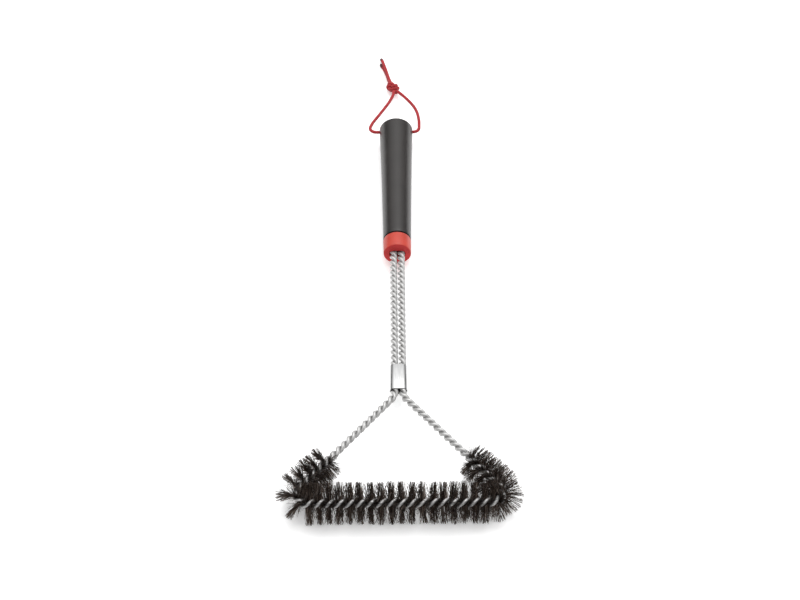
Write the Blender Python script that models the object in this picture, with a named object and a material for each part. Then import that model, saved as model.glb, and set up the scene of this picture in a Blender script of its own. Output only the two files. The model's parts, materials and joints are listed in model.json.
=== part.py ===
"""Three-sided twisted-wire grill cleaning brush with a hanging cord.

The brush lies flat: +Y runs from the brush head to the handle, +X to the right, +Z up, and
z = 0 is the surface that the bristle tips and the handle's butt rest on. Lengths are metres.
"""

import math

import bmesh
import bpy
from mathutils import Matrix, Vector

# Driving dimensions of the whole brush.
OVERALL_LENGTH = 0.4645
BRISTLE_REACH = 0.018
BUTT_RADIUS = 0.016
FLOOR_GAP = 0.0001
TOUCH_GAP = 0.0003

BUTT_Y = OVERALL_LENGTH / 2
BAR_Y = BRISTLE_REACH - OVERALL_LENGTH / 2
HEAD_Z = BRISTLE_REACH
STEM_Z = BUTT_RADIUS + FLOOR_GAP

# Handle grip: a tapered moulded shell, closed at the butt, which it flares out to.
GRIP_LENGTH = 0.1505
GRIP_MOUTH_Y = BUTT_Y - GRIP_LENGTH
GRIP_MOUTH_RADIUS = 0.0127
GRIP_MOUTH_CHAMFER = 0.0003
GRIP_FLARE = 0.0009
GRIP_RINGS = 6
COUNTERBORE_RADIUS = 0.0121
COUNTERBORE_DEPTH = 0.0014
GRIP_BORE_MOUTH_RADIUS = 0.0112
GRIP_BORE_END_RADIUS = 0.0100
GRIP_END_THICKNESS = 0.016
BUTT_EDGE_RADIUS = 0.0028
BUTT_EDGE_STEPS = 4
GRIP_SEGMENTS = 40
CORD_HOLE_Y = BUTT_Y - 0.0040
CORD_HOLE_RADIUS = 0.0019
CORD_HOLE_SEGMENTS = 16

# Collar: the flange shows in front of the grip, its neck seats in the grip's counterbore, and
# its spigot sits in the bore.
COLLAR_FACE_Y = BUTT_Y - 0.1680
COLLAR_FRONT_RADIUS = 0.0125
COLLAR_REAR_RADIUS = 0.0128
COLLAR_FRONT_EDGE_RADIUS = 0.0010
COLLAR_FRONT_EDGE_STEPS = 3
COLLAR_REAR_EDGE = 0.0004
SHADOW_GAP_WIDTH = 0.0017
COLLAR_NECK_RADIUS = 0.0117
SPIGOT_RADIUS = 0.0107
SPIGOT_LENGTH = 0.016
SLOT_WIDTH = 0.0147
SLOT_HEIGHT = 0.0080
SLOT_SEGMENTS = 20
COLLAR_SEGMENTS = 36

# Core and crimp inside the grip, which hold the ends of the wires.
CORE_RADIUS = 0.0101
CORE_LENGTH = 0.024
CORE_EDGE = 0.0006
TAIL_CRIMP_LENGTH = 0.009
TAIL_PAST_CRIMP = 0.0015

# Ferrule round the two ropes at the fork.
FERRULE_REAR_Y = BAR_Y + 0.1445
FERRULE_FRONT_Y = BAR_Y + 0.1175
BAND_WIDTH = 0.0152
BAND_HEIGHT = 0.0084
BAND_WALL = 0.0006
BAND_LIP = 0.0002

# Wires: two left-hand twisted strands make the rope that forms the stem, legs and bar.
STRAND_RADIUS = 0.0016
STRAND_SIDES = 6
STRAND_STEPS_PER_TURN = 6
STRAND_SMOOTH_ANGLE = 65.0
TIGHT_OFFSET = STRAND_RADIUS + TOUCH_GAP / 2
ROPE_GAP = 0.0003
ROPE_X = TIGHT_OFFSET + STRAND_RADIUS + ROPE_GAP / 2
FORK_Y = BAR_Y + 0.1122
LEG_SPREAD = math.radians(38.7)
FORK_BEND_RADIUS = 0.010
CORNER_BEND_RADIUS = 0.0095
BAR_PIECE = 4
RIGHT_ARC_PIECE = 5

# Bristles: a fin of filaments clamped between the strands, which twists with them.
BRUSH_PITCH = 0.0166
BRUSH_TURNS = 16
LEG_PITCH = 0.0137
LEG_TURNS = 7.5
STEM_PITCH = 0.0126
TWIST_SHIFT = 0.2
FIN_ROOT_THICKNESS = 0.0005
FIN_TIP_THICKNESS = 0.0003
FIN_CORE_HALF_WIDTH = 0.0018
FIN_STEPS_PER_TURN = 12
CLAMPED_OFFSET = STRAND_RADIUS + FIN_ROOT_THICKNESS / 2 + TOUCH_GAP
CORNER_CLEARANCE = 0.0009

# Twist outwards from the middle of the bar: how many turns there are of each pitch.
PITCHES = ((BRUSH_TURNS / 2, BRUSH_PITCH), (LEG_TURNS, LEG_PITCH), (math.inf, STEM_PITCH))

# Hanging cord, threaded through the cross hole and tied in one overhand knot.
CORD_RADIUS = 0.0015
CORD_BEVEL_RESOLUTION = 2
CORD_POINT_SPACING = 0.0040
ROUTE_STEPS = 24
KNOT_RADIUS = 0.0056
KNOT_SEGMENTS = 14
KNOT_RINGS = 8
KNOT_CENTRE = Vector((-0.0024, 0.0772, -0.0103))
TIP_RADIUS = 0.0016
TIP_LENGTH = 0.0024
TIP_SEGMENTS = 10
# Each point is a share of the tip's radius and a share of its length.
TIP_SHAPE = ((1.0, 0.4), (0.9, 0.8), (0.5, 1.0), (0.0, 1.0))

# Routes are measured from the middle of the cross hole, and chosen so that the loop sinks from
# the hole to the surface under its own weight.
LEFT_ROUTE = (
    (-0.0163, 0.0000, 0.0000),
    (-0.0191, 0.0000, 0.0000),
    (-0.0221, 0.0008, -0.0001),
    (-0.0243, 0.0030, -0.0003),
    (-0.0251, 0.0059, -0.0006),
    (-0.0249, 0.0083, -0.0009),
    (-0.0238, 0.0122, -0.0014),
    (-0.0217, 0.0176, -0.0020),
    (-0.0166, 0.0285, -0.0035),
    (-0.0109, 0.0412, -0.0053),
    (-0.0069, 0.0506, -0.0067),
    (-0.0038, 0.0598, -0.0079),
    (-0.0023, 0.0655, -0.0087),
    (-0.0020, 0.0703, -0.0093),
)
RIGHT_ROUTE = (
    (0.0163, 0.0000, 0.0000),
    (0.0184, 0.0004, 0.0000),
    (0.0202, 0.0014, -0.0001),
    (0.0215, 0.0030, -0.0003),
    (0.0222, 0.0050, -0.0006),
    (0.0224, 0.0075, -0.0008),
    (0.0225, 0.0110, -0.0012),
    (0.0225, 0.0165, -0.0017),
    (0.0221, 0.0226, -0.0024),
    (0.0210, 0.0313, -0.0035),
    (0.0189, 0.0393, -0.0045),
    (0.0156, 0.0473, -0.0055),
    (0.0101, 0.0577, -0.0071),
    (0.0055, 0.0652, -0.0084),
    (0.0018, 0.0708, -0.0094),
)
LONG_TAIL_ROUTE = (
    (-0.0044, 0.0834, -0.0091),
    (-0.0064, 0.0905, -0.0107),
    (-0.0084, 0.0992, -0.0110),
    (-0.0103, 0.1080, -0.0110),
    (-0.0122, 0.1160, -0.0111),
    (-0.0132, 0.1204, -0.0117),
    (-0.0140, 0.1240, -0.0131),
)
SHORT_TAIL_ROUTE = (
    (-0.0046, 0.0834, -0.0126),
    (-0.0064, 0.0912, -0.0143),
    (-0.0084, 0.1000, -0.0144),
    (-0.0110, 0.1092, -0.0144),
    (-0.0142, 0.1166, -0.0144),
)


def clear_scene():
    for obj in list(bpy.data.objects):
        bpy.data.objects.remove(obj, do_unlink=True)


def make_material(name, colour, roughness, metallic=0.0):
    material = bpy.data.materials.new(name)
    material.use_nodes = True
    shader = material.node_tree.nodes["Principled BSDF"]
    shader.inputs["Base Color"].default_value = (*colour, 1.0)
    shader.inputs["Roughness"].default_value = roughness
    shader.inputs["Metallic"].default_value = metallic
    material.diffuse_color = (*colour, 1.0)
    return material


def add_mesh(name, bm, material, location=(0.0, 0.0, 0.0), parent=None, smooth_angle=35.0):
    """Turns a bmesh into a smooth-shaded object, with its faces pointing out."""
    bmesh.ops.recalc_face_normals(bm, faces=bm.faces)
    mesh = bpy.data.meshes.new(name)
    bm.to_mesh(mesh)
    bm.free()
    mesh.shade_smooth()
    mesh.set_sharp_from_angle(angle=math.radians(smooth_angle))
    mesh.materials.append(material)
    obj = bpy.data.objects.new(name, mesh)
    obj.location = location
    obj.parent = parent
    bpy.context.scene.collection.objects.link(obj)
    return obj


def bridge(bm, ring_a, ring_b):
    """Joins two rings of vertices; a ring of one vertex is a pole."""
    count = max(len(ring_a), len(ring_b))
    for i in range(count):
        j = (i + 1) % count
        corners = [ring_a[i % len(ring_a)], ring_a[j % len(ring_a)]]
        corners += [ring_b[j % len(ring_b)], ring_b[i % len(ring_b)]]
        bm.faces.new(list(dict.fromkeys(corners)))


def turned(name, profile, segments, material, location):
    """A solid turned about the Y axis, from (radius, y) points that start and end on the axis."""
    bm = bmesh.new()
    rings = []
    for radius, y in profile:
        if radius == 0.0:
            rings.append([bm.verts.new((0.0, y, 0.0))])
            continue
        angles = [math.tau * i / segments for i in range(segments)]
        rings.append([bm.verts.new((radius * math.cos(a), y, radius * math.sin(a))) for a in angles])
    for ring_a, ring_b in zip(rings, rings[1:]):
        bridge(bm, ring_a, ring_b)
    return add_mesh(name, bm, material, location)


def edge_arc(radius_at_corner, y_at_corner, edge_radius, steps, towards):
    """Points of a rounded outer edge, from the side to the end face; towards is +1 for a +Y end."""
    points = []
    for i in range(steps + 1):
        a = math.pi / 2 * i / steps
        r = radius_at_corner - edge_radius * (1.0 - math.cos(a))
        y = y_at_corner - towards * edge_radius * (1.0 - math.sin(a))
        points.append((r, y))
    return points


def obround_ring(width, height, segments):
    """Points (x, z) round a slot outline with semicircular ends."""
    radius = height / 2
    offset = width / 2 - radius
    points = []
    for side in (1, -1):
        for i in range(segments // 2 + 1):
            a = -math.pi / 2 + math.pi * i / (segments // 2)
            points.append((side * (offset + radius * math.cos(a)), side * radius * math.sin(a)))
    return points


def obround_prism(bm, width, height, y_front, y_rear):
    """A straight bar of obround section along Y."""
    outline = obround_ring(width, height, SLOT_SEGMENTS)
    front = [bm.verts.new((x, y_front, z)) for x, z in outline]
    rear = [bm.verts.new((x, y_rear, z)) for x, z in outline]
    bridge(bm, front, rear)
    bm.faces.new(front)
    bm.faces.new(rear[::-1])


def cut(target, name, bm):
    """Cuts a bmesh shape, in the target's own coordinates, out of the target."""
    cutter = add_mesh(name, bm, target.data.materials[0], target.location)
    cutter.hide_render = True
    cutter.display_type = "WIRE"
    boolean = target.modifiers.new(name, "BOOLEAN")
    boolean.operation = "DIFFERENCE"
    boolean.solver = "EXACT"
    boolean.object = cutter


def grip_radius(share):
    """The grip's radius at a share of the way from its mouth to its butt."""
    straight = BUTT_RADIUS - GRIP_MOUTH_RADIUS - GRIP_FLARE
    return GRIP_MOUTH_RADIUS + straight * share + GRIP_FLARE * share**3


def make_grip(material):
    butt_edge = edge_arc(BUTT_RADIUS, BUTT_Y, BUTT_EDGE_RADIUS, BUTT_EDGE_STEPS, 1)
    sides = []
    for i in range(1, GRIP_RINGS):
        share = i / GRIP_RINGS
        y = GRIP_MOUTH_Y + (GRIP_LENGTH - BUTT_EDGE_RADIUS) * share
        sides.append((grip_radius(share), y))
    counterbore_end = GRIP_MOUTH_Y + COUNTERBORE_DEPTH
    profile = [
        (0.0, BUTT_Y - GRIP_END_THICKNESS),
        (GRIP_BORE_END_RADIUS, BUTT_Y - GRIP_END_THICKNESS),
        (GRIP_BORE_MOUTH_RADIUS, counterbore_end),
        (COUNTERBORE_RADIUS, counterbore_end),
        (COUNTERBORE_RADIUS, GRIP_MOUTH_Y),
        (GRIP_MOUTH_RADIUS - GRIP_MOUTH_CHAMFER, GRIP_MOUTH_Y),
        (GRIP_MOUTH_RADIUS, GRIP_MOUTH_Y + GRIP_MOUTH_CHAMFER),
        *sides,
        *butt_edge,
        (0.0, BUTT_Y),
    ]
    grip = turned("handle_grip", profile, GRIP_SEGMENTS, material, (0.0, 0.0, STEM_Z))
    hole = bmesh.new()
    along_x = Matrix.Translation((0.0, CORD_HOLE_Y, 0.0)) @ Matrix.Rotation(math.pi / 2, 4, "Y")
    bmesh.ops.create_cone(
        hole,
        cap_ends=True,
        segments=CORD_HOLE_SEGMENTS,
        radius1=CORD_HOLE_RADIUS,
        radius2=CORD_HOLE_RADIUS,
        depth=3 * BUTT_RADIUS,
        matrix=along_x,
    )
    cut(grip, "cord_hole_cutter", hole)


def make_collar(material):
    flange_rear = GRIP_MOUTH_Y - SHADOW_GAP_WIDTH
    neck_end = GRIP_MOUTH_Y + COUNTERBORE_DEPTH - TOUCH_GAP
    spigot_end = GRIP_MOUTH_Y + SPIGOT_LENGTH
    front_edge = edge_arc(
        COLLAR_FRONT_RADIUS,
        COLLAR_FACE_Y,
        COLLAR_FRONT_EDGE_RADIUS,
        COLLAR_FRONT_EDGE_STEPS,
        -1,
    )
    profile = [
        (0.0, COLLAR_FACE_Y),
        *reversed(front_edge),
        (COLLAR_REAR_RADIUS, flange_rear - COLLAR_REAR_EDGE),
        (COLLAR_REAR_RADIUS - COLLAR_REAR_EDGE, flange_rear),
        (COLLAR_NECK_RADIUS, flange_rear),
        (COLLAR_NECK_RADIUS, neck_end),
        (SPIGOT_RADIUS, neck_end),
        (SPIGOT_RADIUS, spigot_end),
        (0.0, spigot_end),
    ]
    collar = turned("front_collar", profile, COLLAR_SEGMENTS, material, (0.0, 0.0, STEM_Z))
    slot = bmesh.new()
    obround_prism(slot, SLOT_WIDTH, SLOT_HEIGHT, COLLAR_FACE_Y - BUTT_RADIUS, spigot_end + BUTT_RADIUS)
    cut(collar, "collar_slot_cutter", slot)


def core_ends():
    front = GRIP_MOUTH_Y + SPIGOT_LENGTH + TOUCH_GAP
    return front, front + CORE_LENGTH


def make_core(material):
    front, rear = core_ends()
    profile = [
        (0.0, front),
        (CORE_RADIUS - CORE_EDGE, front),
        (CORE_RADIUS, front + CORE_EDGE),
        (CORE_RADIUS, rear - CORE_EDGE),
        (CORE_RADIUS - CORE_EDGE, rear),
        (0.0, rear),
    ]
    core = turned("anchor_core", profile, COLLAR_SEGMENTS, material, (0.0, 0.0, STEM_Z))
    slot = bmesh.new()
    obround_prism(slot, SLOT_WIDTH, SLOT_HEIGHT, front - BUTT_RADIUS, rear + BUTT_RADIUS)
    cut(core, "core_slot_cutter", slot)


def make_band(name, y_front, y_rear, material):
    """A crimped obround band round both ropes, with a small lip on each edge."""
    bm = bmesh.new()
    sections = (
        (BAND_WALL - BAND_LIP, y_front),
        (BAND_WALL, y_front + BAND_LIP),
        (BAND_WALL, y_rear - BAND_LIP),
        (BAND_WALL - BAND_LIP, y_rear),
        (0.0, y_rear),
        (0.0, y_front),
    )
    rings = []
    for wall, y in sections:
        grow = 2 * (wall - BAND_WALL)
        outline = obround_ring(BAND_WIDTH + grow, BAND_HEIGHT + grow, SLOT_SEGMENTS)
        rings.append([bm.verts.new((x, y, z)) for x, z in outline])
    for ring_a, ring_b in zip(rings, rings[1:] + rings[:1]):
        bridge(bm, ring_a, ring_b)
    add_mesh(name, bm, material, (0.0, 0.0, STEM_Z))


class Path:
    """A line through corner points, each rounded to its bend radius, measured from its middle."""

    def __init__(self, corners, radii):
        self.pieces = []
        start = corners[0]
        for before, corner, after, radius in zip(corners, corners[1:], corners[2:], radii):
            come = (corner - before).normalized()
            leave = (after - corner).normalized()
            turn = come.angle(leave)
            tangent = radius * math.tan(turn / 2)
            first = corner - come * tangent
            self.add_line(start, first)
            inward = (leave - come * come.dot(leave)).normalized()
            self.pieces.append((radius * turn, first, come, inward, radius))
            start = corner + leave * tangent
        self.add_line(start, corners[-1])
        self.length = sum(piece[0] for piece in self.pieces)

    def add_line(self, start, end):
        run = end - start
        self.pieces.append((run.length, start, run.normalized(), None, 0.0))

    def at(self, s):
        """The point and the direction of travel at s, counted from the middle of the path."""
        left = s + self.length / 2
        for length, start, direction, inward, radius in self.pieces[:-1]:
            if left <= length:
                break
            left -= length
        else:
            length, start, direction, inward, radius = self.pieces[-1]
        if inward is None:
            return start + direction * left, direction
        a = left / radius
        centre = start + inward * radius
        point = centre - inward * (radius * math.cos(a)) + direction * (radius * math.sin(a))
        return point, direction * math.cos(a) + inward * math.sin(a)


def rope_path():
    corner_x = ROPE_X + (FORK_Y - BAR_Y) * math.tan(LEG_SPREAD)
    tail_y = core_ends()[1] + TOUCH_GAP + TAIL_CRIMP_LENGTH + TAIL_PAST_CRIMP
    half = [
        Vector((ROPE_X, tail_y, STEM_Z)),
        Vector((ROPE_X, FORK_Y, STEM_Z)),
        Vector((corner_x, BAR_Y, HEAD_Z)),
    ]
    mirrored = [Vector((-p.x, p.y, p.z)) for p in half]
    bends = [FORK_BEND_RADIUS, CORNER_BEND_RADIUS]
    return Path(mirrored + half[::-1], bends + bends[::-1])


def turns_at(s):
    """How far the rope has twisted at s, in turns from the middle of the bar."""
    left = abs(s)
    turns = 0.0
    for count, pitch in PITCHES:
        run = min(left, count * pitch)
        turns += run / pitch
        left -= run
    return math.copysign(turns, s)


def place_of(turns):
    """The place s at which the rope has made that many turns."""
    left = abs(turns)
    s = 0.0
    for count, pitch in PITCHES:
        part = min(left, count)
        s += part * pitch
        left -= part
    return math.copysign(s, turns)


def twist_at(s):
    """The angle of the across direction at s, from level; the twist is left-handed."""
    return math.tau * (TWIST_SHIFT - turns_at(s))


def rope_frame(path, s):
    """The rope's centre, and its across direction and normal, turned with the twist."""
    centre, along = path.at(s)
    up = Vector((0.0, 0.0, 1.0))
    up = (up - along * up.dot(along)).normalized()
    inward = up.cross(along)
    a = twist_at(s)
    across = inward * math.cos(a) + up * math.sin(a)
    normal = up * math.cos(a) - inward * math.sin(a)
    return centre, across, normal


def strand_offset(s):
    """How far a strand's centre is from the rope's: wider where bristles lie between them."""
    past = max(0.0, abs(s) - BRUSH_TURNS * BRUSH_PITCH / 2) / LEG_PITCH
    return TIGHT_OFFSET + (CLAMPED_OFFSET - TIGHT_OFFSET) * max(0.0, 1.0 - past)


def make_strand(name, path, side, material):
    def centre_at(s):
        centre, _, normal = rope_frame(path, s)
        return centre + normal * (side * strand_offset(s))

    half_turns = turns_at(path.length / 2)
    steps = math.floor(half_turns * STRAND_STEPS_PER_TURN)
    places = [place_of(i / STRAND_STEPS_PER_TURN) for i in range(-steps, steps + 1)]
    small = STRAND_RADIUS / 10
    bm = bmesh.new()
    rings = []
    for s in places:
        centre = centre_at(s)
        along = (centre_at(s + small) - centre_at(s - small)).normalized()
        outward = rope_frame(path, s)[2] * side
        outward = (outward - along * outward.dot(along)).normalized()
        sideways = along.cross(outward)
        ring = []
        for i in range(STRAND_SIDES):
            a = math.tau * i / STRAND_SIDES
            spoke = outward * math.cos(a) + sideways * math.sin(a)
            ring.append(bm.verts.new(centre + spoke * STRAND_RADIUS))
        rings.append(ring)
    for ring_a, ring_b in zip(rings, rings[1:]):
        bridge(bm, ring_a, ring_b)
    bm.faces.new(rings[0])
    bm.faces.new(rings[-1][::-1])
    add_mesh(name, bm, material, smooth_angle=STRAND_SMOOTH_ANGLE)


def inner_limit(path, s):
    """How far bristles may reach into the head at s: they meet half-way across each corner."""
    bar_half = path.pieces[BAR_PIECE][0] / 2
    arc_length = path.pieces[RIGHT_ARC_PIECE][0]
    turn = arc_length / CORNER_BEND_RADIUS
    past_arc = max(bar_half - abs(s), abs(s) - bar_half - arc_length, 0.0)
    return CORNER_BEND_RADIUS - CORNER_CLEARANCE + past_arc / math.tan(turn / 2)


def arm_reach(inner, inwardness, height, downwardness):
    """The length of one arm of the fin, shorter where it points into a corner or at the surface."""
    reach = BRISTLE_REACH
    if inwardness * reach > inner:
        reach = inner / inwardness
    if downwardness * reach > height:
        reach = height / downwardness
    return reach


def sheet_normal(path, s, w):
    """The direction square to the helical sheet at s, at the distance w out from the rope."""
    step = STRAND_RADIUS / 10
    before, across_before, _ = rope_frame(path, s - step)
    after, across_after, _ = rope_frame(path, s + step)
    travel = after + across_after * w - before - across_before * w
    _, across, _ = rope_frame(path, s)
    return travel.cross(across).normalized()


def fin_station(bm, path, s):
    """Upper and lower rows of vertices across the fin at s, tip to tip."""
    centre, across, _ = rope_frame(path, s)
    inwardness = math.cos(twist_at(s))
    inner = inner_limit(path, s)
    columns = (
        (-arm_reach(inner, -inwardness, centre.z, across.z), FIN_TIP_THICKNESS),
        (-FIN_CORE_HALF_WIDTH, FIN_ROOT_THICKNESS),
        (0.0, FIN_ROOT_THICKNESS),
        (FIN_CORE_HALF_WIDTH, FIN_ROOT_THICKNESS),
        (arm_reach(inner, inwardness, centre.z, -across.z), FIN_TIP_THICKNESS),
    )
    upper = []
    lower = []
    for w, thickness in columns:
        middle = centre + across * w
        half = sheet_normal(path, s, w) * (thickness / 2)
        upper.append(bm.verts.new(middle + half))
        lower.append(bm.verts.new(middle - half))
    return upper, lower


def skin_faces(bm, row, next_row):
    """Triangles between two stations; each diagonal runs outwards, so both skins stay parallel."""
    middle = len(row) // 2
    for j in range(len(row) - 1):
        inner, outer = (j, j + 1) if j >= middle else (j + 1, j)
        bm.faces.new((row[inner], row[outer], next_row[outer]))
        bm.faces.new((row[inner], next_row[outer], next_row[inner]))


def make_fin(name, path, first_turn, material):
    """One turn of bristles, as the helical sheet that its filaments fill."""
    turns = [first_turn + i / FIN_STEPS_PER_TURN for i in range(FIN_STEPS_PER_TURN + 1)]
    places = [place_of(turn) for turn in turns]
    places[0] += TOUCH_GAP / 2
    places[-1] -= TOUCH_GAP / 2
    bm = bmesh.new()
    stations = [fin_station(bm, path, s) for s in places]
    for (upper, lower), (next_upper, next_lower) in zip(stations, stations[1:]):
        skin_faces(bm, upper, next_upper)
        skin_faces(bm, lower, next_lower)
        for tip in (0, -1):
            bm.faces.new((upper[tip], lower[tip], next_lower[tip], next_upper[tip]))
    for upper, lower in (stations[0], stations[-1]):
        for j in range(len(upper) - 1):
            bm.faces.new((upper[j], upper[j + 1], lower[j + 1], lower[j]))
    add_mesh(name, bm, material)


def fin_names(path):
    """A name for each turn of bristles, by where its middle lies, from the left leg's end."""
    bar_half = path.pieces[BAR_PIECE][0] / 2
    arc_length = path.pieces[RIGHT_ARC_PIECE][0]
    counts = {}
    names = []
    for turn in range(-BRUSH_TURNS // 2, BRUSH_TURNS // 2):
        middle = place_of(turn + 0.5)
        side = "left" if middle < 0 else "right"
        if abs(middle) < bar_half:
            zone = "bar"
        elif abs(middle) < bar_half + arc_length:
            zone = f"{side}_corner"
        else:
            zone = f"{side}_leg"
        counts[zone] = counts.get(zone, 0) + 1
        names.append(f"{zone}_bristles_{counts[zone]}")
    return names


def make_bristles(path, material):
    for i, name in enumerate(fin_names(path)):
        make_fin(name, path, i - BRUSH_TURNS // 2, material)


def smooth_route(route, spacing):
    """Evenly spaced points on a Catmull-Rom curve through the route's own points."""
    points = [Vector(p) for p in route]
    points = [2 * points[0] - points[1], *points, 2 * points[-1] - points[-2]]
    fine = [points[1]]
    for a, b, c, d in zip(points, points[1:], points[2:], points[3:]):
        for i in range(1, ROUTE_STEPS + 1):
            t = i / ROUTE_STEPS
            straight = 2 * b + (c - a) * t
            bend = (2 * a - 5 * b + 4 * c - d) * t**2 + (3 * b - a - 3 * c + d) * t**3
            fine.append((straight + bend) / 2)
    total = sum((q - p).length for p, q in zip(fine, fine[1:]))
    count = max(2, round(total / spacing))
    picked = [fine[0]]
    walked = 0.0
    for p, q in zip(fine, fine[1:]):
        walked += (q - p).length
        if len(picked) < count and walked >= total * len(picked) / count:
            picked.append(q)
    picked.append(fine[-1])
    return picked


def make_cord(name, points, pivot, material):
    curve = bpy.data.curves.new(name, "CURVE")
    curve.dimensions = "3D"
    curve.bevel_depth = CORD_RADIUS
    curve.bevel_resolution = CORD_BEVEL_RESOLUTION
    curve.use_fill_caps = True
    spline = curve.splines.new("POLY")
    spline.points.add(len(points) - 1)
    for point, place in zip(spline.points, points):
        point.co = (*place, 1.0)
    curve.materials.append(material)
    cord = bpy.data.objects.new(name, curve)
    cord.parent = pivot
    bpy.context.scene.collection.objects.link(cord)


def make_tip(name, route, pivot, material):
    """The melted end of a tail: a small rounded stub past the tail's last point."""
    end = Vector(route[-1])
    direction = (end - Vector(route[-2])).normalized()
    profile = [(0.0, TOUCH_GAP), (CORD_RADIUS, TOUCH_GAP)]
    profile += [(TIP_RADIUS * r, TIP_LENGTH * y) for r, y in TIP_SHAPE]
    tip = turned(name, profile, TIP_SEGMENTS, material, end)
    tip.parent = pivot
    tip.rotation_mode = "QUATERNION"
    tip.rotation_quaternion = Vector((0.0, 1.0, 0.0)).rotation_difference(direction)


def make_lanyard(cord_material, tip_material):
    """The hanging cord, on an empty at the axis of the cross hole that it swings about."""
    pivot = bpy.data.objects.new("lanyard_pivot", None)
    pivot.location = (0.0, CORD_HOLE_Y, STEM_Z)
    bpy.context.scene.collection.objects.link(pivot)
    inside = BUTT_RADIUS - CORD_RADIUS
    across = [Vector((-inside, 0.0, 0.0)), Vector((inside, 0.0, 0.0))]
    make_cord("cord_in_handle", across, pivot, cord_material)
    routes = {
        "cord_left": LEFT_ROUTE,
        "cord_right": RIGHT_ROUTE,
        "cord_tail_long": LONG_TAIL_ROUTE,
        "cord_tail_short": SHORT_TAIL_ROUTE,
    }
    for name, route in routes.items():
        make_cord(name, smooth_route(route, CORD_POINT_SPACING), pivot, cord_material)
    knot = bmesh.new()
    bmesh.ops.create_uvsphere(
        knot,
        u_segments=KNOT_SEGMENTS,
        v_segments=KNOT_RINGS,
        radius=KNOT_RADIUS,
        matrix=Matrix.Translation(KNOT_CENTRE),
    )
    add_mesh("cord_knot", knot, cord_material, parent=pivot)
    make_tip("cord_tip_long", LONG_TAIL_ROUTE, pivot, tip_material)
    make_tip("cord_tip_short", SHORT_TAIL_ROUTE, pivot, tip_material)


def main():
    clear_scene()
    black = make_material("grip_black", (0.035, 0.033, 0.034), 0.45)
    red = make_material("collar_red", (0.62, 0.045, 0.035), 0.4)
    grey = make_material("core_grey", (0.30, 0.30, 0.31), 0.6)
    steel = make_material("polished_steel", (0.80, 0.80, 0.80), 0.16, 1.0)
    wire = make_material("wire_steel", (0.66, 0.66, 0.65), 0.3, 1.0)
    filament = make_material("bristle_steel", (0.09, 0.085, 0.08), 0.4, 0.8)
    cord = make_material("cord_red", (0.50, 0.04, 0.06), 0.75)
    melted = make_material("cord_melted", (0.05, 0.02, 0.02), 0.4)

    make_grip(black)
    make_collar(red)
    make_core(grey)
    crimp_front = core_ends()[1] + TOUCH_GAP
    make_band("tail_crimp", crimp_front, crimp_front + TAIL_CRIMP_LENGTH, steel)
    make_band("neck_ferrule", FERRULE_FRONT_Y, FERRULE_REAR_Y, steel)
    path = rope_path()
    make_strand("wire_a", path, 1, wire)
    make_strand("wire_b", path, -1, wire)
    make_bristles(path, filament)
    make_lanyard(cord, melted)


main()
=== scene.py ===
"""The looks of a three-sided grill cleaning brush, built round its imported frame.

Lengths are metres in the frame's axes: +Y from the brush head to the handle, +X to the right,
+Z up from the surface that the brush lies on.
"""

import json
import math
import random

import bmesh
import bpy
import numpy as np
from mathutils import Matrix, Vector


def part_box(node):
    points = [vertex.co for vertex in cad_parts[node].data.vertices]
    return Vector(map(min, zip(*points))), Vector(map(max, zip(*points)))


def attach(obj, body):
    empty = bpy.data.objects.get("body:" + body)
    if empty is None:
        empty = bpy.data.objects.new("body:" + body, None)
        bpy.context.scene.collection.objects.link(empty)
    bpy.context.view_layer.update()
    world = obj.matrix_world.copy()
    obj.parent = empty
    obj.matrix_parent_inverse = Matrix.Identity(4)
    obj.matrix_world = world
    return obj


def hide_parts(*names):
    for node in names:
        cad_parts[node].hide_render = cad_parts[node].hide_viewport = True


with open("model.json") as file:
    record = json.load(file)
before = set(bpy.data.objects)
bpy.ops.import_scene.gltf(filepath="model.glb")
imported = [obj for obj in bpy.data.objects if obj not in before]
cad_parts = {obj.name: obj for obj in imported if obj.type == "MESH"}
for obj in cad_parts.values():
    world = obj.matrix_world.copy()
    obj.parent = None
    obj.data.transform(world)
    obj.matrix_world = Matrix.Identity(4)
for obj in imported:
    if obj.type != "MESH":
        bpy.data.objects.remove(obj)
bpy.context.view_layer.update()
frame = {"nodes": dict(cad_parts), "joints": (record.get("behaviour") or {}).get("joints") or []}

UP = Vector((0.0, 0.0, 1.0))

# Places that the frame gives.
GRIP_LOW, GRIP_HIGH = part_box("handle_grip")
COLLAR_LOW, COLLAR_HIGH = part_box("front_collar")
FERRULE_LOW, FERRULE_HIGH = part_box("neck_ferrule")
CRIMP_LOW, CRIMP_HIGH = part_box("tail_crimp")
BAR_BOX_LOW, BAR_BOX_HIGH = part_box("bar_bristles_4")
CORD_HOLE = Vector(frame["joints"][0]["pos_m"])

BUTT_Y = GRIP_HIGH.y
GRIP_MOUTH_Y = GRIP_LOW.y
STEM_Z = (GRIP_LOW.z + GRIP_HIGH.z) / 2
BUTT_RADIUS = (GRIP_HIGH.z - GRIP_LOW.z) / 2
BAR_Y = (BAR_BOX_LOW.y + BAR_BOX_HIGH.y) / 2
HEAD_Z = (BAR_BOX_LOW.z + BAR_BOX_HIGH.z) / 2
BRISTLE_REACH = (BAR_BOX_HIGH.z - BAR_BOX_LOW.z) / 2

# Camera: looks down at the brush from beyond its head.
CAMERA_PITCH = math.radians(47.46)
CAMERA_YAW = math.radians(-0.105)
CAMERA_ROLL = math.radians(-0.511)
CAMERA_LENS_MM = 80.68
CAMERA_BACK = 0.850
CAMERA_RISE = 1.1664

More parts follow.
